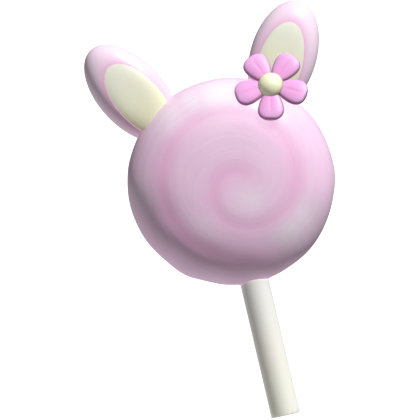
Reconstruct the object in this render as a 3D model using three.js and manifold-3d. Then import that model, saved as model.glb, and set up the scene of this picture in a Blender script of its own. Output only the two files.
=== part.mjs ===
// Bunny-eared swirl lollipop: a puffy sugar head on a round paper stick, lying face up.
// Millimetres, +Z up, +Y from the stick towards the ears.
// The origin is the middle of the small flat that the head lies on.

import * as THREE from "three";
import { mergeVertices } from "three/addons/utils/BufferGeometryUtils.js";
import Module from "manifold-3d";

const wasm = await Module();
wasm.setup();

// Gap kept between pieces that touch
const GAP = 0.3;
const MERGE_DISTANCE = 1e-4;

// Every puffed piece bulges by (r / radius)^3 + (z / half thickness)^2 = 1
const PUFF_POWER = 3;
const PUFF_DIVISIONS = 2000;

// Head: a round pillow of sugar with a small flat on its back
const HEAD_RADIUS = 28;
const HEAD_HALF_THICKNESS = 12.5;
const HEAD_STEPS = 40;
const HEAD_SPOKES = 60;
const REST_FLAT_RADIUS = 9;
const MID_HEIGHT = HEAD_HALF_THICKNESS * Math.sqrt(1 - (REST_FLAT_RADIUS / HEAD_RADIUS) ** PUFF_POWER);

// Seam of the rolled-up rope: its radius and its turning both gather speed along it,
// and its centre climbs from below the middle of the head to above it
const SEAM_INNER_RADIUS = 4.1;
const SEAM_OUTER_RADIUS = 25.1;
const SEAM_RADIUS_POWER = 1.5;
const SEAM_START_ANGLE = THREE.MathUtils.degToRad(45);
const SEAM_TURN = THREE.MathUtils.degToRad(594);
const SEAM_TURN_POWER = 1.4;
const SEAM_CENTRE_X = 2.8;
const SEAM_START_CENTRE_Y = -3.5;
const SEAM_END_CENTRE_Y = 3.3;
const SEAM_SAMPLES = 180;
const SEAM_DEPTH = 0.3;
const SEAM_HALF_WIDTH = 2.1;
const SEAM_FADE_START = 0.94;
const BACK_SEAM_EASE = 4;

// Stick: a round paper rod, pushed into a blind hole in the rim
const STICK_RADIUS = 4;
const STICK_END_Y = -65;
const STICK_DEPTH_IN_HEAD = 18;
const STICK_TOP_Y = STICK_DEPTH_IN_HEAD - HEAD_RADIUS;
const STICK_SIDES = 32;

// Ears: long ovals splayed from the top of the rim, a little behind its middle plane
const EAR_SET_BACK = 1.2;
const EAR_SPLAY = THREE.MathUtils.degToRad(29.75);
const EAR_HALF_WIDTH = 9;
const EAR_HALF_THICKNESS = 5.6;
const EAR_STEPS = 20;
const EAR_SPOKES = 36;
const LEFT_EAR = { name: "left", side: -1, centreX: -20.9, centreY: 29.3, halfLength: 16 };
const RIGHT_EAR = { name: "right", side: 1, centreX: 21.5, centreY: 29.8, halfLength: 15.4 };

// Ear inlays: cream ovals let in flush with the front of each ear
const INLAY_HALF_LENGTH = 12.2;
const INLAY_HALF_WIDTH = 6.1;
const INLAY_SHIFT_DOWN = 2.9;
const INLAY_SHIFT_IN = 0.3;
const INLAY_FLOOR = 1;
const INLAY_CURVE_STEPS = 20;

// Flower: five petals round a bead, leaning back from the face of the head over the right ear
const FLOWER_CENTRE_X = 16.45;
const FLOWER_CENTRE_Y = 22.7;
const FLOWER_HEIGHT = 8.6;
const FLOWER_LEAN = THREE.MathUtils.degToRad(22);
const FIRST_PETAL_BEARING = THREE.MathUtils.degToRad(166.8);
const PETAL_COUNT = 5;
const PETAL_START = 0.5;
const PETAL_REACH = 10.15;
const PETAL_WIDEST_AT = 7.3;
const PETAL_HALF_WIDTH = 3.55;
const PETAL_HALF_THICKNESS = 1.2;
const PETAL_HEEL_BLUNTNESS = 0.3;
const PETAL_TIP_BLUNTNESS = 0.38;
const PETAL_SIDE_GAP = 0.25;
const PETAL_THINNING = 0.6;
const PETAL_FLATNESS = 4;
const PETAL_CREASE_DEPTH = 0.25;
const PETAL_STEPS = 12;
const PETAL_SIDES = 16;
const BEAD_RADIUS = 3.45;
const BEAD_RAISE = -0.15;
const BEAD_SIDES = 22;
const BEAD_RINGS = 14;

const material = (color, roughness) => new THREE.MeshStandardMaterial({ color, roughness, metalness: 0 });
const candyPink = material("#f3d9ec", 0.3);
const earPink = material("#f2d0e6", 0.3);
const inlayCream = material("#f1f0d8", 0.35);
const petalPink = material("#f2b5e4", 0.35);
const beadCream = material("#f6f5cf", 0.3);
const stickPaper = material("#efebdc", 0.7);

// The index triples of a mesh without the ones that have shrunk to a line
function trianglesOf(geometry) {
  const corners = geometry.index.array;
  const kept = [];
  for (let start = 0; start < corners.length; start += 3) {
    const [a, b, c] = corners.slice(start, start + 3);
    if (a !== b && b !== c && c !== a) {
      kept.push(a, b, c);
    }
  }
  return Uint32Array.from(kept);
}

// A closed skin, its shared corners merged, as a solid that can be cut
function solidOf(geometry) {
  const skin = geometry.clone();
  skin.deleteAttribute("normal");
  skin.deleteAttribute("uv");
  const merged = mergeVertices(skin, MERGE_DISTANCE);
  const vertProperties = merged.attributes.position.array;
  const triVerts = trianglesOf(merged);
  return new wasm.Manifold(new wasm.Mesh({ numProp: 3, vertProperties, triVerts }));
}

function geometryOf(solid) {
  const { vertProperties, triVerts } = solid.getMesh();
  const geometry = new THREE.BufferGeometry();
  geometry.setAttribute("position", new THREE.BufferAttribute(vertProperties, 3));
  geometry.setIndex(new THREE.BufferAttribute(triVerts, 1));
  geometry.computeVertexNormals();
  return geometry;
}

// What remains of one shape after the others are cut from it, all in one frame
function cut(geometry, ...cutters) {
  const rest = cutters.reduce((solid, cutter) => solid.subtract(solidOf(cutter)), solidOf(geometry));
  return geometryOf(rest);
}

// The half outline of a puffed piece, from the middle of its back to the middle of its front
class PuffProfile extends THREE.Curve {
  constructor(radius, halfThickness) {
    super();
    this.radius = radius;
    this.halfThickness = halfThickness;
    this.arcLengthDivisions = PUFF_DIVISIONS;
  }

  getPoint(t, target = new THREE.Vector2()) {
    const angle = Math.PI * (t - 0.5);
    const reach = Math.max(Math.cos(angle), 0) ** (2 / PUFF_POWER);
    return target.set(this.radius * reach, this.halfThickness * Math.sin(angle));
  }
}

// A puffed oval lying in the XY plane, longest along Y
function pillow(halfWidth, halfLength, halfThickness, steps, spokes) {
  const profile = new PuffProfile(halfLength, halfThickness).getSpacedPoints(steps);
  profile[0].x = 0;
  profile[steps].x = 0;
  const geometry = new THREE.LatheGeometry(profile, spokes);
  geometry.rotateX(Math.PI / 2);
  geometry.scale(halfWidth / halfLength, 1, 1);
  return geometry;
}

class SeamCurve extends THREE.Curve {
  getPoint(t, target = new THREE.Vector2()) {
    const radius = THREE.MathUtils.lerp(SEAM_INNER_RADIUS, SEAM_OUTER_RADIUS, t ** SEAM_RADIUS_POWER);
    const angle = SEAM_START_ANGLE + SEAM_TURN * t ** SEAM_TURN_POWER;
    const centreY = THREE.MathUtils.lerp(SEAM_START_CENTRE_Y, SEAM_END_CENTRE_Y, t ** 2);
    return target.set(SEAM_CENTRE_X + radius * Math.cos(angle), centreY + radius * Math.sin(angle));
  }
}

const seamPoints = new SeamCurve().getPoints(SEAM_SAMPLES);

// How deep the soft groove of the seam is at a point of the head
function seamDepth(x, y) {
  const depths = seamPoints.map((point, index) => {
    const distance = Math.hypot(x - point.x, y - point.y);
    const fade = 1 - THREE.MathUtils.smoothstep(index / SEAM_SAMPLES, SEAM_FADE_START, 1);
    return SEAM_DEPTH * fade * Math.exp(-((distance / SEAM_HALF_WIDTH) ** 2));
  });
  return Math.max(...depths);
}

// The seam shows on both faces; on the back it dies out before the flat
function seamShare(x, y, side) {
  const flatEdge = REST_FLAT_RADIUS;
  const eased = THREE.MathUtils.smoothstep(Math.hypot(x, y), flatEdge, flatEdge + BACK_SEAM_EASE);
  return side > 0 ? 1 : eased;
}

function headBlank() {
  const geometry = pillow(HEAD_RADIUS, HEAD_RADIUS, HEAD_HALF_THICKNESS, HEAD_STEPS, HEAD_SPOKES);
  const position = geometry.attributes.position;
  for (let index = 0; index < position.count; index += 1) {
    const x = position.getX(index);
    const y = position.getY(index);
    const z = position.getZ(index);
    const side = Math.sign(z);
    const pressed = z - side * seamDepth(x, y) * seamShare(x, y, side);
    position.setZ(index, Math.max(pressed, -MID_HEIGHT));
  }
  return geometry;
}

// A round rod along Y between two ends
function rod(radius, endY, topY) {
  const geometry = new THREE.CylinderGeometry(radius, radius, topY - endY, STICK_SIDES);
  geometry.translate(0, (topY + endY) / 2, 0);
  return geometry;
}

function headRoom(gap) {
  const radius = HEAD_RADIUS + gap;
  return pillow(radius, radius, HEAD_HALF_THICKNESS + gap, HEAD_STEPS, HEAD_SPOKES);
}

function earPillow(halfLength, gap) {
  return pillow(EAR_HALF_WIDTH + gap, halfLength + gap, EAR_HALF_THICKNESS + gap, EAR_STEPS, EAR_SPOKES);
}

// The upright oval prism that an inlay, or the recess for it, is cut with
function inlayPrism(side, gap) {
  const outline = new THREE.Shape();
  const halfWidth = INLAY_HALF_WIDTH + gap;
  outline.absellipse(0, 0, halfWidth, INLAY_HALF_LENGTH + gap, 0, 2 * Math.PI, false, 0);
  const options = { depth: EAR_HALF_THICKNESS, curveSegments: INLAY_CURVE_STEPS, bevelEnabled: false };
  const geometry = new THREE.ExtrudeGeometry(outline, options);
  geometry.translate(-side * INLAY_SHIFT_IN, -INLAY_SHIFT_DOWN, INLAY_FLOOR - gap);
  return geometry;
}

// Half the petal's width at a distance from the flower's middle: a wedge between its neighbours
// at the heel, and then a full, blunt leaf
function petalHalfWidth(distance) {
  const share = (distance - PETAL_START) / (PETAL_REACH - PETAL_START);
  const widestShare = (PETAL_WIDEST_AT - PETAL_START) / (PETAL_REACH - PETAL_START);
  const power = Math.log(0.5) / Math.log(widestShare);
  const bluntness = distance < PETAL_WIDEST_AT ? PETAL_HEEL_BLUNTNESS : PETAL_TIP_BLUNTNESS;
  const leaf = PETAL_HALF_WIDTH * Math.sin(Math.PI * share ** power) ** bluntness;
  return Math.min(leaf, distance * Math.tan(Math.PI / PETAL_COUNT) - PETAL_SIDE_GAP);
}

function petalProfile() {
  const points = [];
  for (let step = 0; step <= PETAL_STEPS; step += 1) {
    const share = (1 - Math.cos((Math.PI * step) / PETAL_STEPS)) / 2;
    const distance = THREE.MathUtils.lerp(PETAL_START, PETAL_REACH, share);
    const onAxis = step === 0 || step === PETAL_STEPS;
    points.push(new THREE.Vector2(onAxis ? 0 : petalHalfWidth(distance), distance));
  }
  return points;
}

// A petal along +Y: turned like a spindle, then flattened with full edges and a creased middle.
// Its face is flatter than a puffed piece's, so the power of its curve is PETAL_FLATNESS
function petalBlank() {
  const geometry = new THREE.LatheGeometry(petalProfile(), PETAL_SIDES);
  const position = geometry.attributes.position;
  for (let index = 0; index < position.count; index += 1) {
    const x = position.getX(index);
    const z = position.getZ(index);
    const halfWidth = Math.hypot(x, z);
    if (halfWidth > MERGE_DISTANCE) {
      const across = x / halfWidth;
      const fullness = (halfWidth / PETAL_HALF_WIDTH) ** PETAL_THINNING;
      const onCrease = z > 0 && Math.abs(across) < MERGE_DISTANCE;
      const height = PETAL_HALF_THICKNESS * fullness * (z / halfWidth);
      position.setX(index, halfWidth * Math.sign(across) * Math.abs(across) ** (2 / PETAL_FLATNESS));
      position.setZ(index, onCrease ? height - PETAL_CREASE_DEPTH * fullness : height);
    }
  }
  return geometry;
}

function beadBall(radius) {
  const geometry = new THREE.SphereGeometry(radius, BEAD_SIDES, BEAD_RINGS);
  geometry.translate(0, 0, BEAD_RAISE);
  return geometry;
}

function named(name, geometry, finish) {
  const mesh = new THREE.Mesh(geometry, finish);
  mesh.name = name;
  return mesh;
}

// One geometry moved from the frame of its holder into the frame of another object
function movedInto(object, holder, geometry) {
  const move = object.matrixWorld.clone().invert().multiply(holder.matrixWorld);
  return geometry.clone().applyMatrix4(move);
}

// Everything hangs in a group at the height of the head's middle plane
const lollipop = new THREE.Group();
const candy = new THREE.Group();
candy.position.z = MID_HEIGHT;
lollipop.add(candy);

const stickHole = rod(STICK_RADIUS + GAP, -HEAD_RADIUS - STICK_RADIUS, STICK_TOP_Y + GAP);
const head = named("head", cut(headBlank(), stickHole), candyPink);
const stick = named("stick", rod(STICK_RADIUS, STICK_END_Y, STICK_TOP_Y), stickPaper);
candy.add(head, stick);

// Each ear and its inlay share a group, cut clear of the head
function addEar({ name, side, centreX, centreY, halfLength }) {
  const frame = new THREE.Group();
  frame.position.set(centreX, centreY, -EAR_SET_BACK);
  frame.rotation.z = -side * EAR_SPLAY;
  candy.add(frame);
  lollipop.updateMatrixWorld(true);
  const room = movedInto(frame, candy, headRoom(GAP));
  const body = earPillow(halfLength, 0);
  const pocket = inlayPrism(side, GAP);
  const plug = solidOf(body).intersect(solidOf(inlayPrism(side, 0)));
  frame.add(named(`ear_${name}`, cut(body, pocket, room), earPink));
  frame.add(named(`ear_inlay_${name}`, cut(geometryOf(plug), room), inlayCream));
  return frame;
}

addEar(LEFT_EAR);
const rightEarFrame = addEar(RIGHT_EAR);

// The flower's frame: its own Z is its face
const flower = new THREE.Group();
flower.position.set(FLOWER_CENTRE_X, FLOWER_CENTRE_Y, FLOWER_HEIGHT);
flower.rotation.x = -FLOWER_LEAN;
candy.add(flower);

function addPetal(index) {
  const turn = new THREE.Group();
  turn.rotation.z = FIRST_PETAL_BEARING + (2 * Math.PI * index) / PETAL_COUNT;
  flower.add(turn);
  lollipop.updateMatrixWorld(true);
  const bead = beadBall(BEAD_RADIUS + GAP);
  const ear = movedInto(turn, rightEarFrame, earPillow(RIGHT_EAR.halfLength, GAP));
  const room = movedInto(turn, candy, headRoom(GAP));
  turn.add(named(`petal_${index + 1}`, cut(petalBlank(), bead, ear, room), petalPink));
}

for (let index = 0; index < PETAL_COUNT; index += 1) {
  addPetal(index);
}

flower.add(named("flower_bead", beadBall(BEAD_RADIUS), beadCream));

export default lollipop;
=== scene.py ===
# %% [markdown]
# # A swirl lollipop with bunny ears
# The frame gives this lollipop as plain solids: a puffy head, two ears with cream ovals, a small
# flower and a paper stick. This lesson gives each of them a finer skin, drawn from the same curves,
# and a finish that starts from how the real sweet is made. Sugar is boiled, pulled until air turns
# it opaque, rolled into a rope, coiled on itself and pressed into a thick, round head.

import math

import bpy
import numpy as np
from mathutils import Matrix, Vector, kdtree, noise


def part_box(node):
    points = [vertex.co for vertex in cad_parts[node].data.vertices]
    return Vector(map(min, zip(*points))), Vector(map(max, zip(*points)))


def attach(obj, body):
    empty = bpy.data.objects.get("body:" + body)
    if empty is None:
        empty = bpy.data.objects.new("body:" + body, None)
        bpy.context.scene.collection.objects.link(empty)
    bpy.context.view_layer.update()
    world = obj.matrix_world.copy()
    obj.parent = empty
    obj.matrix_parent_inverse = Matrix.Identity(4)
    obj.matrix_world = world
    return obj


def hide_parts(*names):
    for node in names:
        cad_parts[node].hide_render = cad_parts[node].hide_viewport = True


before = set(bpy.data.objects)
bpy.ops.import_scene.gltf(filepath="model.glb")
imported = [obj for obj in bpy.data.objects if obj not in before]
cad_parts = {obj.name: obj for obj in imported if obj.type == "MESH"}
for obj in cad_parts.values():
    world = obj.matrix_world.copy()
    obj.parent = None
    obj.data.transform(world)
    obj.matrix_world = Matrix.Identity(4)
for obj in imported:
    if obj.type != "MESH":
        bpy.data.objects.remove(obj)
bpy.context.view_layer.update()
print("solids:", ", ".join(sorted(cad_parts)))

# %% [markdown]
# ## Sizes
# Blender works in metres here, but a sweet is thought of in millimetres, so lengths are written as
# a number times MM. The head and the stick give the two heights that everything else hangs on: the
# table top is at zero, and the stick's axis runs through the head's middle plane.

# %% Read the main sizes from the frame
MM = 0.001

head_low, head_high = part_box("head")
stick_low, stick_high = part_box("stick")
HEAD_RADIUS = (head_high[0] - head_low[0]) / 2
HEAD_HALF_THICKNESS = 12.5 * MM
MID_HEIGHT = (stick_high[2] + stick_low[2]) / 2
STICK_RADIUS = (stick_high[0] - stick_low[0]) / 2
print(f"head radius {HEAD_RADIUS / MM:.1f} mm")
print(f"middle plane {MID_HEIGHT / MM:.2f} mm above the table")

# %% [markdown]
# ## One skin for every piece
# Each piece of this sweet is round in some way, so each can be described as a stack of closed rings
# of points. A lathe or a subdivided cube could make them too, but rings let the code push every
# point where the sugar would go, and they leave clean, even faces. The functions below make a flat
# ring and raise it, and join the rings with four-sided faces and a fan at both ends.

# %% Join rings of points into a closed skin
def unit_circle(spokes):
    turn = np.linspace(0, 2 * math.pi, spokes, endpoint=False)
    return np.stack([np.cos(turn), np.sin(turn)], 1)


def raised(plan, height):
    """Gives the points of a plan a height, which is one number or one for each point."""
    return np.column_stack([plan, np.broadcast_to(height, len(plan))])


def skin_of_rings(name, first, rings, last):
    """Makes a mesh object from rings of points, with one closing point at each end."""
    count = len(rings[0])
    points = np.vstack([[first], *rings, [last]])
    steps = np.arange(count)
    around = (steps + 1) % count
    faces = []
    for level in range(len(rings) - 1):
        low = 1 + level * count
        high = low + count
        faces += np.stack([low + steps, low + around, high + around, high + steps], axis=1).tolist()
    top = 1 + (len(rings) - 1) * count
    faces += np.stack([np.zeros(count, int), 1 + around, 1 + steps], axis=1).tolist()
    faces += np.stack([np.full(count, len(points) - 1), top + steps, top + around], axis=1).tolist()
    mesh = bpy.data.meshes.new(name)
    mesh.from_pydata(points.tolist(), [], faces)
    mesh.polygons.foreach_set("use_smooth", [True] * len(mesh.polygons))
    piece = bpy.data.objects.new(name, mesh)
    bpy.context.scene.collection.objects.link(piece)
    print(f"{name}: {len(points)} points, {len(faces)} faces")
    return piece


def note_on_points(piece, name, values):
    """Keeps one number for each point of a mesh, for its material to read."""
    layer = piece.data.attributes.new(name, "FLOAT", "POINT")
    layer.data.foreach_set("value", np.asarray(values, dtype=np.float32))


# %% [markdown]
# A finished piece is handed to the frame in the same way each time: it takes its material, rides on
# the one body that the lollipop has and takes the place of its plain solid.

# %% Put a finished piece in place of its solid
def set_in_place(piece, material, node):
    piece.data.materials.append(material)
    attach(piece, "root")
    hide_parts(node)
    print(f"{piece.name} wears {material.name}, made of {len(material.node_tree.nodes)} nodes")


# %% [markdown]
# ## Puffed forms
# Pressed sugar settles into one kind of curve: nearly flat in the middle, then rounding faster and
# faster to a full edge. The curve (distance / radius) cubed plus (height / thickness) squared
# equals one has that look. It sits between a ball and a pebble. The head and the petals share it,
# and the ears take a power a little above the cube, which is flatter with a fuller edge.

# %% The puffed curve
PUFF_POWER = 3
FINE_STEPS = 4001


def puff(reach, power=PUFF_POWER):
    """Height of the puffed curve, from 1 in the middle to 0 at the edge."""
    return np.sqrt(np.clip(1 - np.abs(reach) ** power, 0, None))


def puffed_profile(radius, half_thickness, steps):
    """Evenly spaced points of the half outline, from the back's middle to the front's middle."""
    angle = np.linspace(-math.pi / 2, math.pi / 2, FINE_STEPS)
    reach = radius * np.clip(np.cos(angle), 0, None) ** (2 / PUFF_POWER)
    height = half_thickness * np.sin(angle)
    travelled = np.append(0, np.cumsum(np.hypot(np.diff(reach), np.diff(height))))
    stops = np.linspace(0, travelled[-1], steps + 1)[1:-1]
    return np.interp(stops, travelled, reach), np.interp(stops, travelled, height)


# %% [markdown]
# Nothing made by hand is perfectly even. Sugar slumps a little as it cools, so each piece gets a
# slow, shallow unevenness of a few hundredths of a millimetre. It can't be seen as a shape, but it
# breaks up the highlights.

# %% Slow unevenness of hand-made sugar
def uneven(points, wave, depth):
    """Moves points up and down by smooth noise in waves of this length and depth."""
    lift = [noise.noise(Vector(point) / wave) for point in points]
    moved = np.array(points)
    moved[:, 2] += depth * np.array(lift)
    return moved


# %% [markdown]
# ## The seam
# A rope of sugar rolled up on itself leaves one seam that winds out from beside the middle.
# Pressing closes it to a soft groove. A spiral curve object could draw it, but the groove and the
# colour both need to know how far any point of the face is from the seam, so the seam is kept as a
# formula and sampled finely. Its radius and its turning both gather speed along it, and its centre
# climbs from below the middle of the head to above it. A k-d tree, which sorts points by place,
# then finds the nearest sample of the seam fast.

# %% Sample the seam and measure distances to it
SEAM_INNER_RADIUS = 4.1 * MM
SEAM_OUTER_RADIUS = 25.1 * MM
SEAM_RADIUS_POWER = 1.5
SEAM_START_ANGLE = math.radians(45)
SEAM_TURN = math.radians(594)
SEAM_TURN_POWER = 1.4
SEAM_CENTRE_X = 2.8 * MM
SEAM_START_CENTRE_Y = -3.5 * MM
SEAM_END_CENTRE_Y = 3.3 * MM
SEAM_SAMPLES = 1500

way = np.linspace(0, 1, SEAM_SAMPLES)
seam_radius = SEAM_INNER_RADIUS + (SEAM_OUTER_RADIUS - SEAM_INNER_RADIUS) * way**SEAM_RADIUS_POWER
seam_angle = SEAM_START_ANGLE + SEAM_TURN * way**SEAM_TURN_POWER
seam_centre_y = SEAM_START_CENTRE_Y + (SEAM_END_CENTRE_Y - SEAM_START_CENTRE_Y) * way**2
seam_x = SEAM_CENTRE_X + seam_radius * np.cos(seam_angle)
seam_y = seam_centre_y + seam_radius * np.sin(seam_angle)

seam_tree = kdtree.KDTree(SEAM_SAMPLES)
for index, (x, y) in enumerate(zip(seam_x, seam_y)):
    seam_tree.insert((x, y, 0), index)
seam_tree.balance()
seam_length = np.hypot(np.diff(seam_x), np.diff(seam_y)).sum()
seam_turns = SEAM_TURN / (2 * math.pi)
print(f"the seam is {seam_length / MM:.0f} mm long and turns {seam_turns:.2f} times")


def smooth_step(value, low, high):
    """Rises softly from 0 at low to 1 at high."""
    share = np.clip((value - low) / (high - low), 0, 1)
    return share * share * (3 - 2 * share)


def from_seam(points):
    """Distance of each point from the seam in plan, and its place along the seam from 0 to 1."""
    found = [seam_tree.find((x, y, 0)) for x, y, _ in points]
    distance = np.array([hit[2] for hit in found])
    along = np.array([hit[1] for hit in found]) / (SEAM_SAMPLES - 1)
    return distance, along


# %% [markdown]
# ## The head
# The head starts as a puffed disc of even rings, and then its points are pushed the way the sugar
# went. First the rim: fingers pinch it in and out in slow waves about a centimetre long. The push
# is square to the surface and grows from nothing half way out, so the middle of the face stays
# calm.

# %% Pinch the rim
RIM_WAVE = 9 * MM
RIM_WAVE_DEPTH = 0.42 * MM


def pinch_rim(points):
    """Moves the rim in and out in slow waves, square to its surface, as fingers leave it."""
    radius = np.hypot(points[:, 0], points[:, 1])
    near_rim = smooth_step(radius, HEAD_RADIUS / 2, HEAD_RADIUS)
    wave = np.array([noise.noise(Vector(point) / RIM_WAVE) for point in points])
    outward = points * (1 / HEAD_RADIUS, 1 / HEAD_RADIUS, 0)
    outward += (0, 0, 1) * points[:, 2:] / HEAD_HALF_THICKNESS * (1 - near_rim[:, None])
    points += RIM_WAVE_DEPTH * (near_rim * wave)[:, None] * outward


# %% [markdown]
# Next come the soft groove of the seam, in the face and in the back, and a thin collar along the
# stick, where the warm sugar wetted the paper. The groove fades in from the seam's inner end and
# out at its outer end, and on the back it stops short of the flat that the head rests on.

# %% Press the seam and draw the collar
SEAM_DEPTH = 0.12 * MM
SEAM_HALF_WIDTH = 2.1 * MM
SEAM_FADE_IN = 0.3
SEAM_FADE_OUT = 0.94
REST_FLAT_RADIUS = 9 * MM
BACK_SEAM_EASE = 4 * MM
COLLAR_HEIGHT = 0.2 * MM
COLLAR_SPREAD = 0.3 * MM


def press_seam(points, distance, along):
    """Sinks the seam into both faces, softly from its inner end. It stops short of the flat."""
    side = np.sign(points[:, 2])
    fade = smooth_step(along, 0, SEAM_FADE_IN) * (1 - smooth_step(along, SEAM_FADE_OUT, 1))
    groove = SEAM_DEPTH * fade * np.exp(-((distance / SEAM_HALF_WIDTH) ** 2))
    radius = np.hypot(points[:, 0], points[:, 1])
    eased = smooth_step(radius, REST_FLAT_RADIUS, REST_FLAT_RADIUS + BACK_SEAM_EASE)
    shown = np.where(side > 0, 1, eased)
    points[:, 2] -= side * shown * groove


def draw_collar(points):
    """Draws the sugar out along the stick, most where it touches the paper."""
    from_axis = np.hypot(points[:, 0], points[:, 2])
    rise = COLLAR_HEIGHT * np.exp(-np.clip(from_axis - STICK_RADIUS, 0, None) / COLLAR_SPREAD)
    points[:, 1] -= np.where(points[:, 1] < -HEAD_RADIUS / 2, rise, 0)


# %% [markdown]
# The seam also holds the dye. It is strongest in the seam, thins out on both sides and varies along
# the rope, as a hand brushes it on. Each pair below is a place along the seam, from 0 at its inner
# end to 1 at its outer end, and the strength of the dye there.

# %% Work out the dye
DYE_REACH = 5.3 * MM
DYE_THINNING = 1.6
DYE_SOFTNESS = 0.6 * MM
DYE_ALONG_SEAM = (
    (0, 0.35), (0.1, 0.7), (0.2, 0.8), (0.3, 0.95), (0.38, 0.8), (0.5, 0.65), (0.57, 0.75),
    (0.63, 1), (0.7, 0.6), (0.8, 0.65), (0.86, 1), (0.95, 1), (1, 0.3),
)


def dye_left(distance, along):
    """How much of the seam's dye there is: it varies along the seam and ends at DYE_REACH."""
    softened = np.hypot(distance, DYE_SOFTNESS)
    thinned = np.clip(1 - softened / DYE_REACH, 0, 1) ** DYE_THINNING
    places, strengths = zip(*DYE_ALONG_SEAM)
    return thinned * np.interp(along, places, strengths)


# %% [markdown]
# Now the head can be made. Points that would lie under the table are lifted to it, which gives the
# small flat that the cooling slab leaves on the back. Each point keeps its distance from the seam
# and its dye, for the finish to read.

# %% Shape the head
HEAD_STEPS = 150
HEAD_SPOKES = 320
HEAD_WAVE = 9 * MM
HEAD_WAVE_DEPTH = 0.07 * MM


def shape_head():
    profile = zip(*puffed_profile(HEAD_RADIUS, HEAD_HALF_THICKNESS, HEAD_STEPS))
    rings = [raised(radius * unit_circle(HEAD_SPOKES), height) for radius, height in profile]
    points = np.vstack([[[0, 0, -HEAD_HALF_THICKNESS]], *rings, [[0, 0, HEAD_HALF_THICKNESS]]])
    distance, along = from_seam(points)
    points = uneven(points, HEAD_WAVE, HEAD_WAVE_DEPTH)
    pinch_rim(points)
    press_seam(points, distance, along)
    draw_collar(points)
    points[:, 2] = np.clip(points[:, 2] + MID_HEIGHT, 0, None)
    stack = points[1:-1].reshape(len(rings), HEAD_SPOKES, 3)
    head = skin_of_rings("head_pulled_sugar", points[0], list(stack), points[-1])
    note_on_points(head, "seam_distance", distance)
    note_on_points(head, "seam_dye", dye_left(distance, along))
    return head


head = shape_head()

# %% [markdown]
# Pulling leaves some stretches of the rope with more air in them, and those stay paler. A noise
# would scatter them anywhere, so each one is listed as a soft round patch with its middle, its
# radius, all in millimetres, and its paleness. The finish reads how pale each point is.

# %% Note the paler stretches
PALE_PATCHES = (
    (4.2, -5.9, 4.5, 0.6),
    (12.3, -16.5, 5, 0.9),
    (16.5, -13.5, 5, 0.75),
    (-24.3, 1.8, 4.5, 0.5),
    (-12, 20, 5.5, 0.65),
    (-5, 23.5, 4, 0.9),
    (1, 22.8, 6.5, 1),
    (20, 15, 3.5, 0.5),
    (-9, -10, 4, 0.3),
)


def note_pale_patches(piece):
    places = np.array([vertex.co for vertex in piece.data.vertices]) / MM
    paleness = np.zeros(len(places))
    for x, y, radius, strength in PALE_PATCHES:
        distance = np.hypot(places[:, 0] - x, places[:, 1] - y)
        paleness = np.maximum(paleness, strength * np.exp(-((distance / radius) ** 2)))
    note_on_points(piece, "paleness", paleness)
    print(f"{len(PALE_PATCHES)} pale patches, {paleness.mean():.0%} paleness over the whole head")


note_pale_patches(head)

# %% [markdown]
# ## The ears
# Each ear is a long puffed oval, flatter in section than the head, splayed outwards and set a
# little behind the middle of the head, which hides its foot. A cream oval is let into its face
# while both are warm, so the joint is flush and shows only as a hairline. The ear's rings run up
# its back, over the edge and in to the border of the oval, then down into the shallow pocket that
# the cream fills.

# %% Ear sizes and their frames
EAR_HALF_WIDTH = 9 * MM
EAR_HALF_THICKNESS = 5.6 * MM
EAR_FLATNESS = 3.7
EAR_SET_BACK = 1.2 * MM
EAR_SPLAY = math.radians(29.75)
EARS = {
    "left": {"side": -1, "centre": (-20.9 * MM, 29.3 * MM), "half_length": 16 * MM},
    "right": {"side": 1, "centre": (21.5 * MM, 29.8 * MM), "half_length": 15.4 * MM},
}
INLAY_HALF_WIDTH = 6.1 * MM
INLAY_HALF_LENGTH = 12.2 * MM
INLAY_SHIFT_IN = 0.3 * MM
INLAY_SHIFT_DOWN = 2.9 * MM
POCKET_FLOOR = 1 * MM
EAR_SPOKES = 200
EAR_BACK_STEPS = 28
EAR_FRONT_STEPS = 36


def ear_height(plan, half_length):
    """Height of the ear's face above its middle plane at points of its plan."""
    reach = np.hypot(plan[:, 0] / EAR_HALF_WIDTH, plan[:, 1] / half_length)
    return EAR_HALF_THICKNESS * puff(reach, power=EAR_FLATNESS)


def oval(half_width, half_length, centre=(0, 0)):
    return np.array(centre) + unit_circle(EAR_SPOKES) * (half_width, half_length)


def inlay_border(side, inset):
    """The border of the cream oval in plan, drawn in by an inset."""
    centre = (-side * INLAY_SHIFT_IN, -INLAY_SHIFT_DOWN)
    return oval(INLAY_HALF_WIDTH - inset, INLAY_HALF_LENGTH - inset, centre)


def ear_place(ear):
    """Where the ear sits: splayed, and moved out to its place by the head."""
    turn = Matrix.Rotation(-ear["side"] * EAR_SPLAY, 4, "Z")
    return Matrix.Translation((*ear["centre"], MID_HEIGHT - EAR_SET_BACK)) @ turn


def place_points(place, points):
    """Moves points from a piece's own frame to its place on the lollipop."""
    turned = np.asarray(points) @ np.array(place.to_3x3()).T
    return turned + np.array(place.translation)


# %% [markdown]
# The rings of the face slide from the outline of the ear to the border of the oval. They are packed
# close at the edge, where the puffed curve is steep. One more ring lies a hair from the border, so
# that the shading stays level right up to the joint and only the joint itself rounds over. Each
# point remembers how far it is from the border, because the pink deepens there.

# %% Shape an ear
JOINT_GAP = 0.02 * MM
JOINT_ROUNDING = 0.06 * MM
JOINT_STEPS = ((0.4, 0.35), (1, 1))
LAST_SHARE = 0.004
EAR_WAVE = 6 * MM
EAR_WAVE_DEPTH = 0.05 * MM
FAR_FROM_BORDER = 9 * MM


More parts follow.
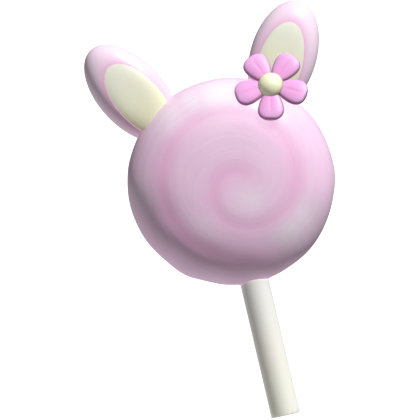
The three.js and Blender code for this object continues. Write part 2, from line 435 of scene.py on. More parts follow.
def shape_ear(name, ear):
    half_length = ear["half_length"]
    outline = oval(EAR_HALF_WIDTH, half_length)
    border = inlay_border(ear["side"], 0)
    rings = []
    from_border = [FAR_FROM_BORDER]
    for tilt in np.linspace(0, math.pi / 2, EAR_BACK_STEPS + 1)[1:]:
        plan = outline * math.sin(tilt) ** (2 / EAR_FLATNESS)
        rings.append(raised(plan, -EAR_HALF_THICKNESS * math.cos(tilt)))
        from_border += [FAR_FROM_BORDER] * EAR_SPOKES
    shares = np.cos(np.linspace(0, math.pi / 2, EAR_FRONT_STEPS + 1)[1:-1])
    for share in (*shares, LAST_SHARE, 0):
        plan = border + (outline - border) * share
        rings.append(raised(plan, ear_height(plan, half_length)))
        from_border += np.hypot(*(plan - border).T).tolist()
    for inset, drop in JOINT_STEPS:
        plan = inlay_border(ear["side"], inset * JOINT_ROUNDING)
        rings.append(raised(plan, ear_height(plan, half_length) - drop * JOINT_ROUNDING))
        from_border += [0] * EAR_SPOKES
    rings.append(raised(inlay_border(ear["side"], JOINT_ROUNDING), POCKET_FLOOR))
    from_border += [0] * (EAR_SPOKES + 1)
    middle = [-ear["side"] * INLAY_SHIFT_IN, -INLAY_SHIFT_DOWN, POCKET_FLOOR]
    place = ear_place(ear)
    rings = [place_points(place, uneven(ring, EAR_WAVE, EAR_WAVE_DEPTH)) for ring in rings]
    ends = place_points(place, [[0, 0, -EAR_HALF_THICKNESS], middle])
    skin = skin_of_rings(f"ear_{name}_moulded_sugar", ends[0], rings, ends[1])
    note_on_points(skin, "border_distance", from_border)
    return skin


ears = {name: shape_ear(name, ear) for name, ear in EARS.items()}

# %% [markdown]
# ## The cream ovals
# The cream sugar is poured into the pocket. It stands level with the ear and swells a hair in the
# middle, as liquid does, and its edge rounds down into the joint.

# %% Shape a cream oval
INLAY_SWELL = 0.08 * MM
INLAY_STEPS = 30
INLAY_FOOT = 0.1 * MM
FOOT_SHARES = (0.5, 1)


def shape_inlay(name, ear):
    side = ear["side"]
    half_length = ear["half_length"]
    foot_border = inlay_border(side, JOINT_ROUNDING + JOINT_GAP)
    middle = np.array([-side * INLAY_SHIFT_IN, -INLAY_SHIFT_DOWN])
    foot = POCKET_FLOOR + INLAY_FOOT
    rings = [raised(middle + (foot_border - middle) * share, foot) for share in FOOT_SHARES]
    for inset, drop in reversed(JOINT_STEPS):
        plan = inlay_border(side, JOINT_GAP + inset * JOINT_ROUNDING)
        rings.append(raised(plan, ear_height(plan, half_length) - drop * JOINT_ROUNDING))
    top_border = inlay_border(side, JOINT_GAP + JOINT_ROUNDING)
    for share in np.cos(np.linspace(0, math.pi / 2, INLAY_STEPS + 1)[1:-1]):
        plan = middle + (top_border - middle) * share
        rings.append(raised(plan, ear_height(plan, half_length) + INLAY_SWELL * (1 - share**2)))
    crown = ear_height(middle[None, :], half_length)[0] + INLAY_SWELL
    tip = middle[1] + INLAY_HALF_LENGTH
    from_tip = [INLAY_HALF_LENGTH, *(tip - np.vstack(rings)[:, 1]), INLAY_HALF_LENGTH]
    place = ear_place(ear)
    rings = [place_points(place, uneven(ring, EAR_WAVE, EAR_WAVE_DEPTH)) for ring in rings]
    ends = place_points(place, [[*middle, foot], [*middle, crown]])
    skin = skin_of_rings(f"ear_{name}_poured_cream", ends[0], rings, ends[1])
    note_on_points(skin, "from_ear_tip", from_tip)
    return skin


inlays = {name: shape_inlay(name, ear) for name, ear in EARS.items()}

# %% [markdown]
# ## The flower
# Five petals are pressed from sugar paste in one mould, with a crease along the middle, and set
# round a sugar pearl. At the heel a petal is a wedge between its neighbours, and from there its
# half width follows a bent sine to the blunt tip. A sine is highest half way, and the power below
# moves that top to where the petal is widest. The petal is a stack of rings along its length, and
# every ring is the puffed curve again.

# %% The form of a petal
PETAL_COUNT = 5
PETAL_START = 0.5 * MM
PETAL_REACH = 10.15 * MM
PETAL_WIDEST_AT = 7.3 * MM
PETAL_HALF_WIDTH = 3.55 * MM
PETAL_HALF_THICKNESS = 1.2 * MM
PETAL_HEEL_BLUNTNESS = 0.3
PETAL_TIP_BLUNTNESS = 0.38
PETAL_SIDE_GAP = 0.05 * MM
PETAL_THINNING = 0.6
PETAL_CREASE_DEPTH = 0.06 * MM
PETAL_CREASE_HALF_WIDTH = 0.28 * MM
PETAL_CREASE_END = 9.2 * MM
PETAL_SIDE_STEPS = 40


def petal_half_width(distance):
    """Half the petal's width at a distance from the flower's middle."""
    share = (distance - PETAL_START) / (PETAL_REACH - PETAL_START)
    widest_share = (PETAL_WIDEST_AT - PETAL_START) / (PETAL_REACH - PETAL_START)
    power = math.log(0.5) / math.log(widest_share)
    bluntness = PETAL_HEEL_BLUNTNESS if distance < PETAL_WIDEST_AT else PETAL_TIP_BLUNTNESS
    leaf = PETAL_HALF_WIDTH * math.sin(math.pi * share**power) ** bluntness
    return min(leaf, distance * math.tan(math.pi / PETAL_COUNT) - PETAL_SIDE_GAP)


def petal_ring(distance):
    """One ring round the petal, from its left edge over the front and back underneath."""
    half_width = petal_half_width(distance)
    fullness = (half_width / PETAL_HALF_WIDTH) ** PETAL_THINNING
    across = np.sin(np.linspace(-math.pi / 2, math.pi / 2, PETAL_SIDE_STEPS + 1))
    front = PETAL_HALF_THICKNESS * fullness * puff(across)
    crease = PETAL_CREASE_DEPTH * np.exp(-((across * half_width / PETAL_CREASE_HALF_WIDTH) ** 2))
    crease *= fullness * (1 - smooth_step(distance, PETAL_WIDEST_AT, PETAL_CREASE_END))
    x = half_width * np.append(across, across[-2:0:-1])
    z = np.append(front - crease, -front[-2:0:-1])
    return np.stack([x, np.full(len(x), distance), z], 1)


# %% [markdown]
# A dark shade is painted on the petals' edges, wider on the sides that face away from the ears and
# to the left, away from the light. Each petal is turned on the flower, so the function turns a
# point's outward direction with it and compares that with the shaded side. In the very middle there
# is no such direction, and the tiny length keeps the division safe there.

# %% Distance to an edge with painted shade
# The plan direction of the side in shade, where the painted edge shade is widest.
SHADED_SIDE = (-0.55, -0.83)
EDGE_SHADE_SPREAD = 0.6
TINY_LENGTH = 1e-6


def shaded_edge_distance(across, along, widths, place):
    """Distance to the edge, shortened where it faces away from the light, for painted shade."""
    from_edge = np.minimum(widths - np.abs(across), PETAL_REACH - along)
    tipward = np.clip(along - PETAL_WIDEST_AT, 0, None) / (PETAL_REACH - PETAL_WIDEST_AT)
    outward = raised(np.stack([across / widths, tipward], 1), 0) @ np.array(place.to_3x3()).T
    plan = outward[:, :2]
    facing = plan @ np.array(SHADED_SIDE) / np.maximum(np.hypot(*plan.T), TINY_LENGTH)
    return from_edge / (1 + EDGE_SHADE_SPREAD * facing)


# %% [markdown]
# The flower leans back over the ear, with its petals all round. Each point keeps how far it is from
# the crease, from the flower's middle and from the petal's edge, because the dyes and the painted
# shade on the edges follow all three.

# %% Shape the petals
FLOWER_CENTRE = (16.45 * MM, 22.7 * MM, MID_HEIGHT + 8.6 * MM)
FLOWER_LEAN = math.radians(22)
FIRST_PETAL_BEARING = math.radians(166.8)
PETAL_STEPS = 56
PETAL_WAVE = 3 * MM
PETAL_WAVE_DEPTH = 0.06 * MM

flower_place = Matrix.Translation(FLOWER_CENTRE) @ Matrix.Rotation(-FLOWER_LEAN, 4, "X")


def shape_petal(index):
    shares = (1 - np.cos(np.linspace(0, math.pi, PETAL_STEPS + 1)[1:-1])) / 2
    distances = PETAL_START + (PETAL_REACH - PETAL_START) * shares
    bearing = FIRST_PETAL_BEARING + 2 * math.pi * index / PETAL_COUNT
    place = flower_place @ Matrix.Rotation(bearing, 4, "Z")
    rings = [petal_ring(distance) for distance in distances]
    across, along, height = np.vstack(rings).T
    crease_distance = [0, *np.abs(across), 0]
    widths = np.repeat([petal_half_width(distance) for distance in distances], len(rings[0]))
    from_edge = [0, *np.where(height > 0, shaded_edge_distance(across, along, widths, place), 0), 0]
    rings = [uneven(place_points(place, ring), PETAL_WAVE, PETAL_WAVE_DEPTH) for ring in rings]
    ends = place_points(place, [[0, PETAL_START, 0], [0, PETAL_REACH, 0]])
    petal = skin_of_rings(f"petal_{index + 1}_sugar_paste", ends[0], rings, ends[1])
    note_on_points(petal, "crease_distance", crease_distance)
    note_on_points(petal, "along_petal", [PETAL_START, *along, PETAL_REACH])
    note_on_points(petal, "edge_distance", from_edge)
    return petal


petals = [shape_petal(index) for index in range(PETAL_COUNT)]

# %% [markdown]
# The pearl in the middle is a ball of sugar that was tumbled until smooth. Rings of latitude make
# it, and its lower half sits down between the heels of the petals, a hair off centre, as a hand
# sets it. Each point keeps its height on the pearl, because the foot gets a painted shade.

# %% Shape the pearl
PEARL_RADIUS = 3.6 * MM
PEARL_PLACE = (-0.16 * MM, -0.14 * MM, -0.15 * MM)
PEARL_STEPS = 48
PEARL_SPOKES = 96
PEARL_WAVE = 2.5 * MM
PEARL_WAVE_DEPTH = 0.04 * MM


def shape_pearl():
    rings = []
    heights = [-PEARL_RADIUS]
    for tilt in np.linspace(-math.pi / 2, math.pi / 2, PEARL_STEPS + 1)[1:-1]:
        circle = PEARL_RADIUS * math.cos(tilt) * unit_circle(PEARL_SPOKES)
        height = PEARL_RADIUS * math.sin(tilt)
        ring = place_points(flower_place, raised(circle, height) + PEARL_PLACE)
        rings.append(uneven(ring, PEARL_WAVE, PEARL_WAVE_DEPTH))
        heights += [height] * PEARL_SPOKES
    poles = np.array([[0, 0, -PEARL_RADIUS], [0, 0, PEARL_RADIUS]])
    ends = place_points(flower_place, poles + PEARL_PLACE)
    piece = skin_of_rings("flower_sugar_pearl", ends[0], rings, ends[1])
    note_on_points(piece, "height_on_pearl", [*heights, PEARL_RADIUS])
    return piece


pearl = shape_pearl()

# %% [markdown]
# ## The stick
# A lollipop stick is a strip of paper rolled up tightly along its length. Its outer edge leaves one
# straight, hair-fine step down the side, and the cut end shows the turns of the roll. The rings
# here run along the stick. Each ring is a circle that loses one thickness of paper over a full
# turn, which makes the step.

# %% Shape the stick
PAPER_STEP = 0.07 * MM
PAPER_STEP_BEARING = math.radians(-38)
STICK_SPOKES = 120
STICK_STEPS = 60
STICK_EDGE = 0.25 * MM
EDGE_STEPS = 5
ROLL_TURNS = 5
ROLL_RELIEF = 0.06 * MM
END_STEPS = 30


def stick_ring(along, radius):
    """A ring of the rolled stick, which shrinks by one thickness of paper all the way round."""
    share = np.linspace(0, 1, STICK_SPOKES)
    turn = PAPER_STEP_BEARING + 2 * math.pi * share
    reach = radius - PAPER_STEP * share * radius / STICK_RADIUS
    x = reach * np.sin(turn)
    z = MID_HEIGHT + reach * np.cos(turn)
    return np.stack([x, np.full(STICK_SPOKES, along), z], 1)


def shape_stick():
    low, high = stick_low[1], stick_high[1]
    rings = []
    for radius in np.linspace(0, STICK_RADIUS - STICK_EDGE, END_STEPS + 1)[1:]:
        turns = radius / STICK_RADIUS * ROLL_TURNS - np.linspace(0, 1, STICK_SPOKES)
        ring = stick_ring(low, radius)
        ring[:, 1] += ROLL_RELIEF * (1 + np.cos(2 * math.pi * turns)) / 2
        rings.append(ring)
    for tilt in np.linspace(0, math.pi / 2, EDGE_STEPS + 1)[1:]:
        radius = STICK_RADIUS - STICK_EDGE * (1 - math.sin(tilt))
        rings.append(stick_ring(low + STICK_EDGE * (1 - math.cos(tilt)), radius))
    for along in np.linspace(low + STICK_EDGE, high, STICK_STEPS)[1:]:
        rings.append(stick_ring(along, STICK_RADIUS))
    ends = [[0, low, MID_HEIGHT], [0, high, MID_HEIGHT]]
    return skin_of_rings("stick_rolled_paper", ends[0], rings, ends[1])


stick = shape_stick()

# %% [markdown]
# ## Tools for the finishes
# Colours are picked as sRGB hex codes, as in a paint program, and one function turns them into the
# linear values that light is reckoned in. One more function adds a shader node together with its
# settings and links. Blender's Mix node has a set of sockets for each kind of value, so the numbers
# of its colour sockets get names here. Pattern scales come from real sizes: a noise with scale
# 1 / size has blotches of about that size.

# %% Colour and node helpers
MIX_SHARE = 0
MIX_FIRST = 6
MIX_SECOND = 7
MIXED = 2


def linear(hex_code):
    """A #rrggbb colour as linear red, green, blue and alpha, by the sRGB standard's formula."""
    parts = np.array([int(hex_code[start:start + 2], 16) for start in (1, 3, 5)]) / 255
    curved = ((parts + 0.055) / 1.055) ** 2.4
    return (*np.where(parts <= 0.04045, parts / 12.92, curved).tolist(), 1)


def add_node(material, kind, sockets=None, **settings):
    """Adds a node. A socket, by name or number, takes a value or the output that feeds it."""
    tree = material.node_tree
    node = tree.nodes.new(kind)
    for name, value in settings.items():
        setattr(node, name, value)
    for name, value in (sockets or {}).items():
        if isinstance(value, bpy.types.NodeSocket):
            tree.links.new(value, node.inputs[name])
        else:
            node.inputs[name].default_value = value
    return node


def new_material(name):
    material = bpy.data.materials.new(name)
    material.use_nodes = True
    material.node_tree.nodes.clear()
    return material


# %% [markdown]
# ## Boiled sugar
# Boiled sugar is a glass with an index of refraction near 1.5. Pulled or filled with colour it is
# opaque, but light still goes a millimetre or so into it before it comes back, red light furthest,
# which softens the shading. Its surface is smooth from the mould, with a faint haze where it has
# taken up moisture from the air, so the gloss is broad and a little uneven. The function builds
# that body round any colour and any relief.

# %% A body of boiled sugar
SUGAR_IOR = 1.5
SUGAR_DEPTH = 1.2 * MM
DEPTH_BY_COLOUR = (1, 0.72, 0.85)
HAZE_SIZE = 5 * MM
HAZE_RANGE = (0.35, 0.65)
GRAIN_SIZE = 0.7 * MM


def boiled_sugar(material, colour, height, relief, gloss, softness):
    """Finishes a sugar. Gloss is its lowest and highest roughness, relief the depth of bumps."""
    where = add_node(material, "ShaderNodeTexCoord").outputs["Object"]
    haze = add_node(material, "ShaderNodeTexNoise", {
        "Vector": where, "Scale": 1 / HAZE_SIZE, "Detail": 3})
    rough = add_node(material, "ShaderNodeMapRange", {
        "Value": haze.outputs[0], "From Min": HAZE_RANGE[0], "From Max": HAZE_RANGE[1],
        "To Min": gloss[0], "To Max": gloss[1]})
    bump = add_node(material, "ShaderNodeBump", {
        "Height": height, "Distance": relief, "Strength": 1})
    body = add_node(material, "ShaderNodeBsdfPrincipled", {
        "Base Color": colour, "Roughness": rough.outputs[0], "IOR": SUGAR_IOR,
        "Normal": bump.outputs[0], "Subsurface Weight": softness,
        "Subsurface Radius": DEPTH_BY_COLOUR, "Subsurface Scale": SUGAR_DEPTH})
    add_node(material, "ShaderNodeOutputMaterial", {"Surface": body.outputs[0]})


# %% [markdown]
# ## Pulled sugar of the head
# Pulling folds air into the rope, so it is pale and satiny, with faint streaks along its length.
# The dye gathers in the seam where the outside of the rope was rolled in. So the colour runs with
# the distance from the seam: orchid pink in it, pale pink beside it, and nearly white in patches on
# the crest of the coil. The streaks come from a noise that changes slowly over the face and quickly
# with that distance, so they follow the coil. The relief is those streaks with a finer grain.

# %% Mix the pulled sugar
SEAM_PINK = "#F5BCE1"
ROPE_PINK = "#F5D1EC"
CREST_WHITE = "#FAEBF7"
STREAK_WIDTH = 0.9 * MM
STREAK_LENGTH = 12 * MM
STREAK_RANGE = (0.3, 0.7)
STREAK_SHADES = (0.975, 1.02)
STREAK_RELIEF_SHARE = 2
PULLED_RELIEF = 0.012 * MM
PINK_GLOSS = (0.3, 0.42)
PULLED_SOFTNESS = 0.1


def pulled_sugar():
    material = new_material("pulled_sugar")
    where = add_node(material, "ShaderNodeTexCoord").outputs["Object"]
    distance = add_node(material, "ShaderNodeAttribute", attribute_name="seam_distance")
    dye = add_node(material, "ShaderNodeAttribute", attribute_name="seam_dye")
    paleness = add_node(material, "ShaderNodeAttribute", attribute_name="paleness")
    rope = add_node(material, "ShaderNodeMix", {
        MIX_SHARE: paleness.outputs["Fac"], MIX_FIRST: linear(ROPE_PINK),
        MIX_SECOND: linear(CREST_WHITE)}, data_type="RGBA")
    dyed = add_node(material, "ShaderNodeMix", {
        MIX_SHARE: dye.outputs["Fac"], MIX_FIRST: rope.outputs[MIXED],
        MIX_SECOND: linear(SEAM_PINK)}, data_type="RGBA")
    slow = add_node(material, "ShaderNodeVectorMath", {
        0: where, 1: (1 / STREAK_LENGTH,) * 3}, operation="MULTIPLY")
    fast = add_node(material, "ShaderNodeMath", {
        0: distance.outputs["Fac"], 1: 1 / STREAK_WIDTH}, operation="MULTIPLY")
    lift = add_node(material, "ShaderNodeCombineXYZ", {"Z": fast.outputs[0]})
    wound = add_node(material, "ShaderNodeVectorMath", {
        0: slow.outputs[0], 1: lift.outputs[0]}, operation="ADD")
    streaks = add_node(material, "ShaderNodeTexNoise", {
        "Vector": wound.outputs[0], "Scale": 1, "Detail": 3})
    shade = add_node(material, "ShaderNodeMapRange", {
        "Value": streaks.outputs[0], "From Min": STREAK_RANGE[0], "From Max": STREAK_RANGE[1],
        "To Min": STREAK_SHADES[0], "To Max": STREAK_SHADES[1]})
    streaked = add_node(material, "ShaderNodeVectorMath", {
        0: dyed.outputs[MIXED], 1: shade.outputs[0]}, operation="MULTIPLY")
    grain = add_node(material, "ShaderNodeTexNoise", {
        "Vector": where, "Scale": 1 / GRAIN_SIZE, "Detail": 2})
    height = add_node(material, "ShaderNodeMath", {
        0: streaks.outputs[0], 1: STREAK_RELIEF_SHARE, 2: grain.outputs[0]},
        operation="MULTIPLY_ADD")
    boiled_sugar(material, streaked.outputs[0], height.outputs[0], PULLED_RELIEF, PINK_GLOSS,
                 PULLED_SOFTNESS)
    return material


set_in_place(head, pulled_sugar(), "head")

# %% [markdown]
# ## Moulded sugar of the ears
# The ears are the same sugar, cast in a mould instead of coiled. The dye is even, with large, slow,
# paler patches, and it is a little deeper round the cream, where the two warm sugars met. That tint
# is an exponential of the distance from the cream, so it is strongest at the joint and dies away
# smoothly.

# %% Mix the moulded sugar
EAR_PINK = "#F8D5EC"
EAR_BORDER_PINK = "#F5C0E5"
BORDER_TINT_WIDTH = 1.3 * MM
PATCH_SIZE = 13 * MM
MOULDED_RELIEF = 0.01 * MM
EAR_SOFTNESS = 0.08


def moulded_sugar():
    material = new_material("moulded_sugar")
    where = add_node(material, "ShaderNodeTexCoord").outputs["Object"]
    distance = add_node(material, "ShaderNodeAttribute", attribute_name="border_distance")
    widths = add_node(material, "ShaderNodeMath", {
        0: distance.outputs["Fac"], 1: -1 / BORDER_TINT_WIDTH}, operation="MULTIPLY")
    tint = add_node(material, "ShaderNodeMath", {0: widths.outputs[0]}, operation="EXPONENT")
    patches = add_node(material, "ShaderNodeTexNoise", {
        "Vector": where, "Scale": 1 / PATCH_SIZE, "Detail": 2})
    pale = add_node(material, "ShaderNodeMix", {
        MIX_SHARE: patches.outputs[0], MIX_FIRST: linear(EAR_PINK),
        MIX_SECOND: linear(CREST_WHITE)}, data_type="RGBA")
    dyed = add_node(material, "ShaderNodeMix", {
        MIX_SHARE: tint.outputs[0], MIX_FIRST: pale.outputs[MIXED],
        MIX_SECOND: linear(EAR_BORDER_PINK)}, data_type="RGBA")
    grain = add_node(material, "ShaderNodeTexNoise", {
        "Vector": where, "Scale": 1 / GRAIN_SIZE, "Detail": 2})
    boiled_sugar(material, dyed.outputs[MIXED], grain.outputs[0], MOULDED_RELIEF, PINK_GLOSS,
                 EAR_SOFTNESS)
    return material


ear_sugar = moulded_sugar()
for name, piece in ears.items():
    set_in_place(piece, ear_sugar, f"ear_{name}")

# %% [markdown]
# ## Poured cream sugar
# Cream sugar gets its colour from a little milk powder. The powder sinks towards the foot of the
# ear before the sugar sets, so the cream is paler at the tip and warmer at the foot, with a soft
# mottle between. The surface of a poured sugar dries with a slightly softer gloss than the pink,
# which took its own from the mould.

# %% Mix the cream sugar
CREAM_TIP = "#F4F4E4"
CREAM_FOOT = "#F2F1CD"
MOTTLE_SIZE = 2.2 * MM
MOTTLE_REACH = 6 * MM
CREAM_RELIEF = 0.008 * MM
CREAM_GLOSS = (0.34, 0.46)


def poured_cream():
    material = new_material("poured_cream_sugar")
    where = add_node(material, "ShaderNodeTexCoord").outputs["Object"]
    mottle = add_node(material, "ShaderNodeTexNoise", {
        "Vector": where, "Scale": 1 / MOTTLE_SIZE, "Detail": 4})
    from_tip = add_node(material, "ShaderNodeAttribute", attribute_name="from_ear_tip")
    wandered = add_node(material, "ShaderNodeMath", {
        0: mottle.outputs[0], 1: MOTTLE_REACH, 2: from_tip.outputs["Fac"]},
        operation="MULTIPLY_ADD")
    settled = add_node(material, "ShaderNodeMapRange", {
        "Value": wandered.outputs[0], "From Min": MOTTLE_REACH / 2,
        "From Max": 2 * INLAY_HALF_LENGTH}, interpolation_type="SMOOTHSTEP")
    mixed = add_node(material, "ShaderNodeMix", {
        MIX_SHARE: settled.outputs[0], MIX_FIRST: linear(CREAM_TIP),
        MIX_SECOND: linear(CREAM_FOOT)}, data_type="RGBA")
    grain = add_node(material, "ShaderNodeTexNoise", {
        "Vector": where, "Scale": 1 / GRAIN_SIZE, "Detail": 2})
    boiled_sugar(material, mixed.outputs[MIXED], grain.outputs[0], CREAM_RELIEF, CREAM_GLOSS,
                 EAR_SOFTNESS)
    return material


cream_sugar = poured_cream()
for name, piece in inlays.items():
    set_in_place(piece, cream_sugar, f"ear_inlay_{name}")

# %% [markdown]
# ## Sugar paste petals
# Sugar paste is icing sugar kneaded with gum, so it dries satin instead of glossy, with a fine
# powdery grain. The petals are brushed with a stronger dye along the crease, which fades to both
# sides, and they are a little paler towards the tip, where the brush lifts. A dark plum shade is
# painted on their edges, widest on the sides that face away from the ears and to the left, which
# face away from the light. That painted shade keeps the shaded look of these sides on so small a
# petal from every side.
#
# A petal also throws its own strong pink on what is beside it. The photo's cream and pearl stay
# clean right up to the petals, so rays of diffuse light skip the petals in this scene.

# %% Mix the sugar paste
PETAL_PINK = "#EFA8E1"
PETAL_CREASE_PINK = "#F29ED8"
PETAL_TIP_PINK = "#EEB4E8"
# The colour of the painted shade on the petals' edges.
PETAL_EDGE_SHADE = "#9C6690"
CREASE_DYE_WIDTH = 0.6 * MM
CREASE_DYE_STRENGTH = 0.45
CREASE_DYE_END = (7 * MM, 9 * MM)
EDGE_SHADE_WIDTH = (0.1 * MM, 0.6 * MM)
EDGE_SHADE_STRENGTH = 0.85
BRUSH_LIFTS_AT = 4 * MM
PASTE_GRAIN = 0.5 * MM
PASTE_RELIEF = 0.015 * MM
PASTE_GLOSS = (0.38, 0.5)
PASTE_SOFTNESS = 0.12


def sugar_paste():
    material = new_material("sugar_paste")
    where = add_node(material, "ShaderNodeTexCoord").outputs["Object"]
    across = add_node(material, "ShaderNodeAttribute", attribute_name="crease_distance")
    along = add_node(material, "ShaderNodeAttribute", attribute_name="along_petal").outputs["Fac"]
    from_edge = add_node(material, "ShaderNodeAttribute", attribute_name="edge_distance")
    near_crease = add_node(material, "ShaderNodeMapRange", {
        "Value": across.outputs["Fac"], "From Min": 0, "From Max": CREASE_DYE_WIDTH,
        "To Min": CREASE_DYE_STRENGTH, "To Max": 0}, interpolation_type="SMOOTHSTEP")
    crease_length = add_node(material, "ShaderNodeMapRange", {
        "Value": along, "From Min": CREASE_DYE_END[0], "From Max": CREASE_DYE_END[1],
        "To Min": 1, "To Max": 0}, interpolation_type="SMOOTHSTEP")
    brushed = add_node(material, "ShaderNodeMath", {
        0: near_crease.outputs[0], 1: crease_length.outputs[0]}, operation="MULTIPLY")
    # Painted shade: dark plum on the petals' edges, widest on the sides away from the light.
    edge = add_node(material, "ShaderNodeMapRange", {
        "Value": from_edge.outputs["Fac"], "From Min": EDGE_SHADE_WIDTH[0],
        "From Max": EDGE_SHADE_WIDTH[1], "To Min": EDGE_SHADE_STRENGTH, "To Max": 0},
        interpolation_type="SMOOTHSTEP")
    lifted = add_node(material, "ShaderNodeMapRange", {
        "Value": along, "From Min": BRUSH_LIFTS_AT, "From Max": PETAL_REACH},
        interpolation_type="SMOOTHSTEP")
    dye = add_node(material, "ShaderNodeMix", {
        MIX_SHARE: lifted.outputs[0], MIX_FIRST: linear(PETAL_PINK),
        MIX_SECOND: linear(PETAL_TIP_PINK)}, data_type="RGBA")
    dyed = add_node(material, "ShaderNodeMix", {
        MIX_SHARE: brushed.outputs[0], MIX_FIRST: dye.outputs[MIXED],
        MIX_SECOND: linear(PETAL_CREASE_PINK)}, data_type="RGBA")
    edged = add_node(material, "ShaderNodeMix", {
        MIX_SHARE: edge.outputs[0], MIX_FIRST: dyed.outputs[MIXED],
        MIX_SECOND: linear(PETAL_EDGE_SHADE)}, data_type="RGBA")
    grain = add_node(material, "ShaderNodeTexNoise", {
        "Vector": where, "Scale": 1 / PASTE_GRAIN, "Detail": 3})
    boiled_sugar(material, edged.outputs[MIXED], grain.outputs[0], PASTE_RELIEF, PASTE_GLOSS,
                 PASTE_SOFTNESS)
    return material


petal_paste = sugar_paste()
for index, piece in enumerate(petals):
    set_in_place(piece, petal_paste, f"petal_{index + 1}")
    piece.visible_diffuse = False

# %% [markdown]
# ## The sugar pearl
# A pearl is tumbled in thin syrup, coat after coat, and dries with a soft satin gloss. Its cream
# is a shade warmer in slow patches. The foot, down between the petals, is painted a dark olive as
# shade: that part of the pearl lies in shade, and the light here reaches it, so the painted shade
# stands in for it.

# %% Mix the pearl sugar
PEARL_CREAM = "#FCFBDA"
PEARL_WARM = "#F9F7CE"
# The painted shade on the pearl's foot, and the heights on the pearl over which it fades in.
PEARL_FOOT_SHADE = "#84906C"
PEARL_SHADE_HEIGHTS = (0.5 * MM, 2.5 * MM)
PEARL_RELIEF = 0.01 * MM
PEARL_GLOSS = (0.4, 0.5)
PEARL_SOFTNESS = 0.1


def pearl_sugar():
    material = new_material("tumbled_pearl_sugar")
    where = add_node(material, "ShaderNodeTexCoord").outputs["Object"]
    mottle = add_node(material, "ShaderNodeTexNoise", {
        "Vector": where, "Scale": 1 / MOTTLE_SIZE, "Detail": 2})
    mixed = add_node(material, "ShaderNodeMix", {
        MIX_SHARE: mottle.outputs[0], MIX_FIRST: linear(PEARL_CREAM),
        MIX_SECOND: linear(PEARL_WARM)}, data_type="RGBA")
    height = add_node(material, "ShaderNodeAttribute", attribute_name="height_on_pearl")
    # Painted shade: the foot of the pearl darkens to olive.
    foot = add_node(material, "ShaderNodeMapRange", {
        "Value": height.outputs["Fac"], "From Min": PEARL_SHADE_HEIGHTS[1],
        "From Max": PEARL_SHADE_HEIGHTS[0]}, interpolation_type="SMOOTHSTEP")
    dark = add_node(material, "ShaderNodeMix", {
        MIX_SHARE: foot.outputs[0], MIX_FIRST: mixed.outputs[MIXED],
        MIX_SECOND: linear(PEARL_FOOT_SHADE)}, data_type="RGBA")
    boiled_sugar(material, dark.outputs[MIXED], mottle.outputs[0], PEARL_RELIEF, PEARL_GLOSS,
                 PEARL_SOFTNESS)
    return material


set_in_place(pearl, pearl_sugar(), "flower_bead")

# %% [markdown]
# ## Rolled paper
# The stick is bleached paper, rolled and pressed smooth. Paper is matte and lets a little light
# through. Its colour runs from a greyer white by the head, a painted shade, to an ivory towards the
# end that is held, which is warmer and also painted brighter as painted light. Its fibres lie
# mostly along the roll, so its faint streaks are long and thin. Real fibres are a few hundredths of
# a millimetre wide, too fine to see here, so they are drawn as bundles half a millimetre wide.

# %% Mix the paper
# A greyer white as painted shade by the head, and a warmer ivory painted brighter as painted light
# at the held end.
PAPER_SHADED_WHITE = "#EFEFEA"
PAPER_LIT_IVORY = "#FFF8EA"
PAPER_SHADE = 0.98
PAPER_ROUGHNESS = (0.5, 0.7)
PAPER_RELIEF = 0.02 * MM
FIBRE_WIDTH = 0.5 * MM
FIBRE_LENGTH = 9 * MM
PAPER_IOR = 1.45
PAPER_SOFTNESS = 0.8
PAPER_DEPTH = 2 * MM


def rolled_paper():
    material = new_material("rolled_paper")
    where = add_node(material, "ShaderNodeTexCoord").outputs["Object"]
    lengths = (1 / FIBRE_WIDTH, 1 / FIBRE_LENGTH, 1 / FIBRE_WIDTH)
    drawn = add_node(material, "ShaderNodeVectorMath", {0: where, 1: lengths}, operation="MULTIPLY")
    fibres = add_node(material, "ShaderNodeTexNoise", {
        "Vector": drawn.outputs[0], "Scale": 1, "Detail": 4})
    lengthways = add_node(material, "ShaderNodeSeparateXYZ", {0: where}).outputs["Y"]
    # Painted light and shade along the stick: greyer by the head, brighter and warmer towards the
    # end.
    lit_toward_end = add_node(material, "ShaderNodeMapRange", {
        "Value": lengthways, "From Min": -HEAD_RADIUS, "From Max": stick_low[1]},
        interpolation_type="SMOOTHSTEP")
    paper = add_node(material, "ShaderNodeMix", {
        MIX_SHARE: lit_toward_end.outputs[0], MIX_FIRST: linear(PAPER_SHADED_WHITE),
        MIX_SECOND: linear(PAPER_LIT_IVORY)}, data_type="RGBA")
    shade = add_node(material, "ShaderNodeMapRange", {
        "Value": fibres.outputs[0], "To Min": 1, "To Max": PAPER_SHADE})
    mixed = add_node(material, "ShaderNodeVectorMath", {
        0: paper.outputs[MIXED], 1: shade.outputs[0]}, operation="MULTIPLY")
    rough = add_node(material, "ShaderNodeMapRange", {
        "Value": fibres.outputs[0], "To Min": PAPER_ROUGHNESS[0], "To Max": PAPER_ROUGHNESS[1]})
    bump = add_node(material, "ShaderNodeBump", {
        "Height": fibres.outputs[0], "Distance": PAPER_RELIEF})
    body = add_node(material, "ShaderNodeBsdfPrincipled", {
        "Base Color": mixed.outputs[0], "Roughness": rough.outputs[0], "IOR": PAPER_IOR,
        "Normal": bump.outputs[0], "Subsurface Weight": PAPER_SOFTNESS,
        "Subsurface Radius": (1, 1, 1), "Subsurface Scale": PAPER_DEPTH})
    add_node(material, "ShaderNodeOutputMaterial", {"Surface": body.outputs[0]})
    return material


set_in_place(stick, rolled_paper(), "stick")

# %% [markdown]
# ## Table, light and camera
# The lollipop lies on a light table, a sheet of frosted acrylic that glows until it looks pure
# white. Only the camera sees the sheet: it throws no light back and casts no shadow, so the rims of
# the sugar aren't washed out.

# %% Lay the table
TABLE_HALF_SIZE = 3.0
TABLE_WHITE = "#F4F4F4"
TABLE_ROUGHNESS = 0.6
TABLE_GLOW = 0.75


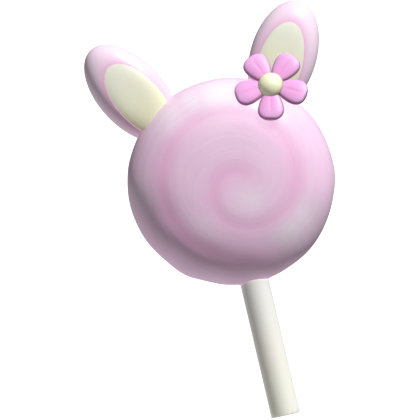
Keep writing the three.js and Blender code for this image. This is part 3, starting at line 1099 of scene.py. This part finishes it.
def lay_table():
    size = TABLE_HALF_SIZE
    mesh = bpy.data.meshes.new("light_table")
    corners = [(-size, -size, 0), (size, -size, 0), (size, size, 0), (-size, size, 0)]
    mesh.from_pydata(corners, [], [(0, 1, 2, 3)])
    table = bpy.data.objects.new("light_table", mesh)
    bpy.context.scene.collection.objects.link(table)
    frosted = new_material("frosted_acrylic")
    body = add_node(frosted, "ShaderNodeBsdfPrincipled", {
        "Base Color": linear(TABLE_WHITE), "Roughness": TABLE_ROUGHNESS,
        "Emission Color": (1, 1, 1, 1), "Emission Strength": TABLE_GLOW})
    add_node(frosted, "ShaderNodeOutputMaterial", {"Surface": body.outputs[0]})
    mesh.materials.append(frosted)
    table.visible_diffuse = False
    table.visible_glossy = False
    table.visible_shadow = False
    print(f"the table is {2 * size:.0f} m wide")


lay_table()

# %% [markdown]
# The key is a softbox beyond the ears, a little to the right. Nine tenths of its light come from a
# second box in the same place that casts no shadows, as a white tent round a sweet would, so the
# flower leaves only a breath of a shadow on the head. A third box shines up from under the table on
# the opposite side and gives the low rim its soft light. It is close, so its light falls off over
# the lollipop. It casts no shadows either, and it isn't mirrored in the gloss, where it would leave
# a hard spot. A dim, even room keeps the band between the two from going black, and small boxes
# keep that band crisp.

# %% Hang the lights
KEY_DIRECTION = Vector((0.541, 0.678, 0.497)).normalized()
FILL_DIRECTION = Vector((-0.525, -0.745, -0.41)).normalized()
KEY_DISTANCE = 2.0
KEY_POWER = 5
BOUNCE_POWER = 41
FILL_DISTANCE = 0.45
FILL_POWER = 0.97
BOX_SHARE = 0.15
ROOM_LIGHT = 0.22


def hang_softbox(name, direction, distance, power, shadows):
    """Hangs a square softbox that looks BOX_SHARE of its distance wide, facing the head."""
    lamp = bpy.data.lights.new(name, "AREA")
    lamp.size = BOX_SHARE * distance
    lamp.energy = power
    lamp.use_shadow = shadows
    holder = bpy.data.objects.new(name, lamp)
    holder.location = Vector((0, 0, MID_HEIGHT)) + distance * direction
    holder.rotation_euler = direction.to_track_quat("Z", "Y").to_euler()
    bpy.context.scene.collection.objects.link(holder)
    print(f"{name}: {lamp.size:.2f} m wide, {distance} m away, {power} W")
    return holder


def paint_room():
    room = bpy.data.worlds.new("pale_room")
    room.use_nodes = True
    room.node_tree.nodes.clear()
    light = add_node(room, "ShaderNodeBackground", {"Color": (1, 1, 1, 1), "Strength": ROOM_LIGHT})
    add_node(room, "ShaderNodeOutputWorld", {"Surface": light.outputs[0]})
    bpy.context.scene.world = room


hang_softbox("key_softbox", KEY_DIRECTION, KEY_DISTANCE, KEY_POWER, shadows=True)
hang_softbox("key_bounce", KEY_DIRECTION, KEY_DISTANCE, BOUNCE_POWER, shadows=False)
fill = hang_softbox("fill_under_table", FILL_DIRECTION, FILL_DISTANCE, FILL_POWER, shadows=False)
fill.visible_glossy = False
paint_room()
bpy.context.scene.view_settings.view_transform = "Standard"

# %% [markdown]
# The camera looks straight down on the face through a long lens, so the picture has almost no
# perspective. The camera is rolled a little, so that the stick points down and to the right, as in
# the photo.

# %% Set up the camera
CAMERA_DISTANCE = 3.0
CAMERA_SENSOR = 36
CAMERA_NEAR_LIMIT = 0.3
PICTURE_WIDTH = 113.5 * MM
PICTURE_ROLL = math.radians(13.15)
LOOK_AT = (-7.3 * MM, -6.3 * MM, MID_HEIGHT)


def set_camera():
    lens = bpy.data.cameras.new("long_lens")
    lens.sensor_width = CAMERA_SENSOR
    lens.lens = CAMERA_SENSOR * CAMERA_DISTANCE / PICTURE_WIDTH
    lens.clip_start = CAMERA_NEAR_LIMIT
    camera = bpy.data.objects.new("camera", lens)
    camera.location = Vector(LOOK_AT) + Vector((0, 0, CAMERA_DISTANCE))
    camera.rotation_euler = (0, 0, -PICTURE_ROLL)
    bpy.context.scene.collection.objects.link(camera)
    bpy.context.scene.camera = camera
    print(f"lens {lens.lens:.0f} mm at {CAMERA_DISTANCE} m")


set_camera()
